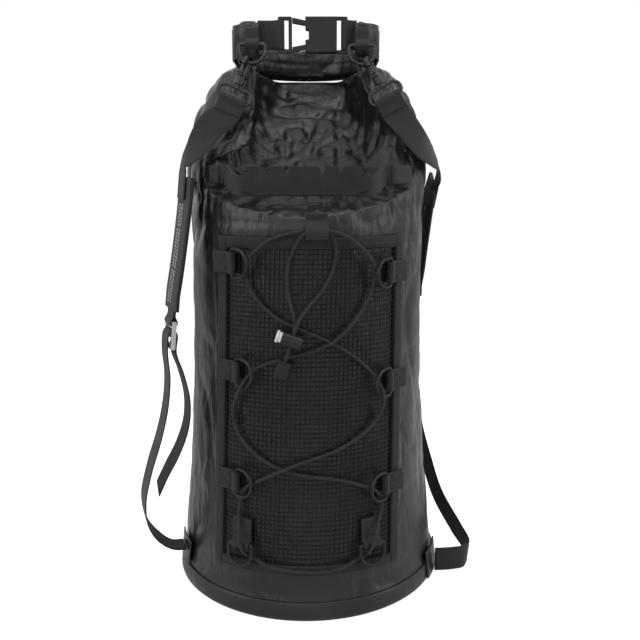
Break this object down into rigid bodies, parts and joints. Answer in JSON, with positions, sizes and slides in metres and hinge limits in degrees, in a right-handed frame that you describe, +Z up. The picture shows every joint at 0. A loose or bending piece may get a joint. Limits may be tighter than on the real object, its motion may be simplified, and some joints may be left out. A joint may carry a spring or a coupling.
{
  "type": "roll top dry bag backpack",
  "caption": "Closed roll-top dry bag with two padded shoulder straps on snap hooks, a laced mesh front panel with D-rings, a cord lock and a carrying handle.",
  "frame": {"origin": "middle of the round base, on the floor that the bag stands on", "axes": "+Z up through the rolled top; -Y towards the laced panel and the buckle; +X to the panel's right as seen from in front"},
  "size_m": [0.3392, 0.2833, 0.5418],
  "materials": {
    "tarpaulin": "heavy coated fabric, black, semi-gloss with soft creases",
    "stiffener": "extruded strip sealed inside the roll",
    "mesh": "black square netting",
    "binding": "black woven edge tape, stitched",
    "d_ring_plastic": "moulded black plastic",
    "buckle_plastic": "moulded black acetal",
    "webbing": "black woven webbing",
    "shock_cord": "black braided elastic cord",
    "cord_lock_plastic": "moulded black plastic",
    "plunger_plastic": "light grey moulded plastic",
    "spring_steel": "spring wire",
    "grip_rubber": "moulded black rubber, matt",
    "pad_fabric": "padded air mesh with bound edges",
    "hook_metal": "black plated, satin",
    "adjuster_plastic": "light grey moulded plastic"
  },
  "bodies": {
    "bag": {"body_tube": "tarpaulin", "base_panel": "tarpaulin", "roll_closure": "tarpaulin", "stiffener_strip": "stiffener", "closure_webbing_left": "webbing", "closure_webbing_right": "webbing", "buckle_socket": "buckle_plastic", "buckle_plug": "buckle_plastic", "mesh_panel": "mesh", "panel_binding": "binding", "ring_tabs": "webbing", "top_loop": "webbing", "shock_cord": "shock_cord", "cord_clamp": "cord_lock_plastic", "handle_anchor_left": "webbing", "handle_anchor_right": "webbing", "left_roll_tab": "webbing", "left_swivel_loop": "hook_metal", "left_upper_strap": "webbing", "left_pad": "pad_fabric", "left_adjuster": "adjuster_plastic", "left_pad_loop": "webbing", "left_lower_strap": "webbing", "right_roll_tab": "webbing", "right_swivel_loop": "hook_metal", "right_upper_strap": "webbing", "right_pad": "pad_fabric", "right_adjuster": "adjuster_plastic", "right_pad_loop": "webbing", "right_lower_strap": "webbing", "left_foot_patch": "tarpaulin", "right_foot_patch": "tarpaulin"},
    "handle": {"handle_grip": "grip_rubber", "handle_strap": "webbing"},
    "buckle_upper": {"buckle_arm_upper": "buckle_plastic"},
    "buckle_lower": {"buckle_arm_lower": "buckle_plastic"},
    "cord_lock": {"cord_lock_barrel": "cord_lock_plastic", "cord_lock_spring": "spring_steel"},
    "plunger": {"cord_lock_plunger": "plunger_plastic"},
    "ring_top_left": {"ring_top_left": "d_ring_plastic"},
    "ring_middle_left": {"ring_middle_left": "d_ring_plastic"},
    "ring_lower_left": {"ring_lower_left": "d_ring_plastic"},
    "ring_bottom_left": {"ring_bottom_left": "d_ring_plastic"},
    "ring_top_right": {"ring_top_right": "d_ring_plastic"},
    "ring_middle_right": {"ring_middle_right": "d_ring_plastic"},
    "ring_lower_right": {"ring_lower_right": "d_ring_plastic"},
    "ring_bottom_right": {"ring_bottom_right": "d_ring_plastic"},
    "left_roll_ring": {"left_roll_ring": "hook_metal"},
    "left_hook": {"left_hook": "hook_metal"},
    "left_hook_gate": {"left_hook_gate": "hook_metal"},
    "right_roll_ring": {"right_roll_ring": "hook_metal"},
    "right_hook": {"right_hook": "hook_metal"},
    "right_hook_gate": {"right_hook_gate": "hook_metal"}
  },
  "joints": [
    {"name": "handle_swing", "type": "hinge", "parent": "bag", "child": "handle", "pos_m": [0, -0.086, 0.404], "axis": [-1, 0, 0], "range_deg": [0, 60]},
    {"name": "arm_upper_squeeze", "type": "hinge", "parent": "bag", "child": "buckle_upper", "pos_m": [-0.0117, -0.06, 0.5388], "axis": [0, 1, 0], "range_deg": [0, 6], "stiffness_Nm_per_rad": 0.3},
    {"name": "arm_lower_squeeze", "type": "hinge", "parent": "bag", "child": "buckle_lower", "pos_m": [-0.0117, -0.06, 0.5138], "axis": [0, -1, 0], "range_deg": [0, 6], "stiffness_Nm_per_rad": 0.3},
    {"name": "ring_top_left_swing", "type": "hinge", "parent": "bag", "child": "ring_top_left", "pos_m": [-0.064, -0.11241, 0.32778], "axis": [0.0237, 0.0295, -0.9993], "range_deg": [0, 45], "deforming": ["shock_cord"]},
    {"name": "ring_middle_left_swing", "type": "hinge", "parent": "bag", "child": "ring_middle_left", "pos_m": [-0.062, -0.11074, 0.23001], "axis": [-0.0013, -0.0017, -1], "range_deg": [0, 45], "deforming": ["shock_cord"]},
    {"name": "ring_lower_left_swing", "type": "hinge", "parent": "bag", "child": "ring_lower_left", "pos_m": [-0.064, -0.11276, 0.12725], "axis": [-0.0244, -0.0351, -0.9991], "range_deg": [0, 45], "deforming": ["shock_cord"]},
    {"name": "ring_bottom_left_swing", "type": "hinge", "parent": "bag", "child": "ring_bottom_left", "pos_m": [-0.06, -0.11939, 0.06953], "axis": [-0.8946, 0.4469, 0], "range_deg": [0, 45], "deforming": ["shock_cord"]},
    {"name": "ring_top_right_swing", "type": "hinge", "parent": "bag", "child": "ring_top_right", "pos_m": [0.076, -0.10303, 0.31882], "axis": [0.0216, -0.0213, 0.9995], "range_deg": [0, 45], "deforming": ["shock_cord"]},
    {"name": "ring_middle_right_swing", "type": "hinge", "parent": "bag", "child": "ring_middle_right", "pos_m": [0.077, -0.10039, 0.21905], "axis": [-0.006, 0.0062, 1], "range_deg": [0, 45], "deforming": ["shock_cord"]},
    {"name": "ring_lower_right_swing", "type": "hinge", "parent": "bag", "child": "ring_lower_right", "pos_m": [0.074, -0.10678, 0.12126], "axis": [-0.0288, 0.0344, 0.999], "range_deg": [0, 45], "deforming": ["shock_cord"]},
    {"name": "ring_bottom_right_swing", "type": "hinge", "parent": "bag", "child": "ring_bottom_right", "pos_m": [0.061, -0.11889, 0.06953], "axis": [-0.8908, -0.4544, 0], "range_deg": [0, 45], "deforming": ["shock_cord"]},
    {"name": "left_roll_ring_swing", "type": "hinge", "parent": "bag", "child": "left_roll_ring", "pos_m": [-0.047, -0.07048, 0.517], "axis": [1, 0, 0], "range_deg": [-3, 3]},
    {"name": "left_hook_swivel", "type": "hinge", "parent": "bag", "child": "left_hook", "pos_m": [-0.05943, -0.07283, 0.48218], "axis": [-0.3769, -0.11, -0.9197], "range_deg": [-45, 5]},
    {"name": "left_gate_swing", "type": "hinge", "parent": "left_hook", "child": "left_hook_gate", "pos_m": [-0.05671, -0.07597, 0.49296], "axis": [-0.8838, 0.3399, 0.3215], "range_deg": [0, 30], "stiffness_Nm_per_rad": 0.02},
    {"name": "right_roll_ring_swing", "type": "hinge", "parent": "bag", "child": "right_roll_ring", "pos_m": [0.05, -0.07048, 0.516], "axis": [1, 0, 0], "range_deg": [-3, 3]},
    {"name": "right_hook_swivel", "type": "hinge", "parent": "bag", "child": "right_hook", "pos_m": [0.06648, -0.07091, 0.48303], "axis": [0.5008, -0.02, -0.8653], "range_deg": [-45, 5]},
    {"name": "right_gate_swing", "type": "hinge", "parent": "right_hook", "child": "right_hook_gate", "pos_m": [0.05976, -0.07502, 0.49149], "axis": [-0.8099, 0.342, -0.4766], "range_deg": [0, 30], "stiffness_Nm_per_rad": 0.02},
    {"name": "cord_lock_slide", "type": "slide", "parent": "bag", "child": "cord_lock", "axis": [0.3067, -0.0402, 0.951], "range_m": [-0.006, 0.012], "deforming": ["shock_cord"]},
    {"name": "plunger_press", "type": "slide", "parent": "cord_lock", "child": "plunger", "axis": [0.9477, -0.0804, -0.309], "range_m": [0, 0.003], "stiffness_N_per_m": 300, "deforming": ["cord_lock_spring"]}
  ]
}
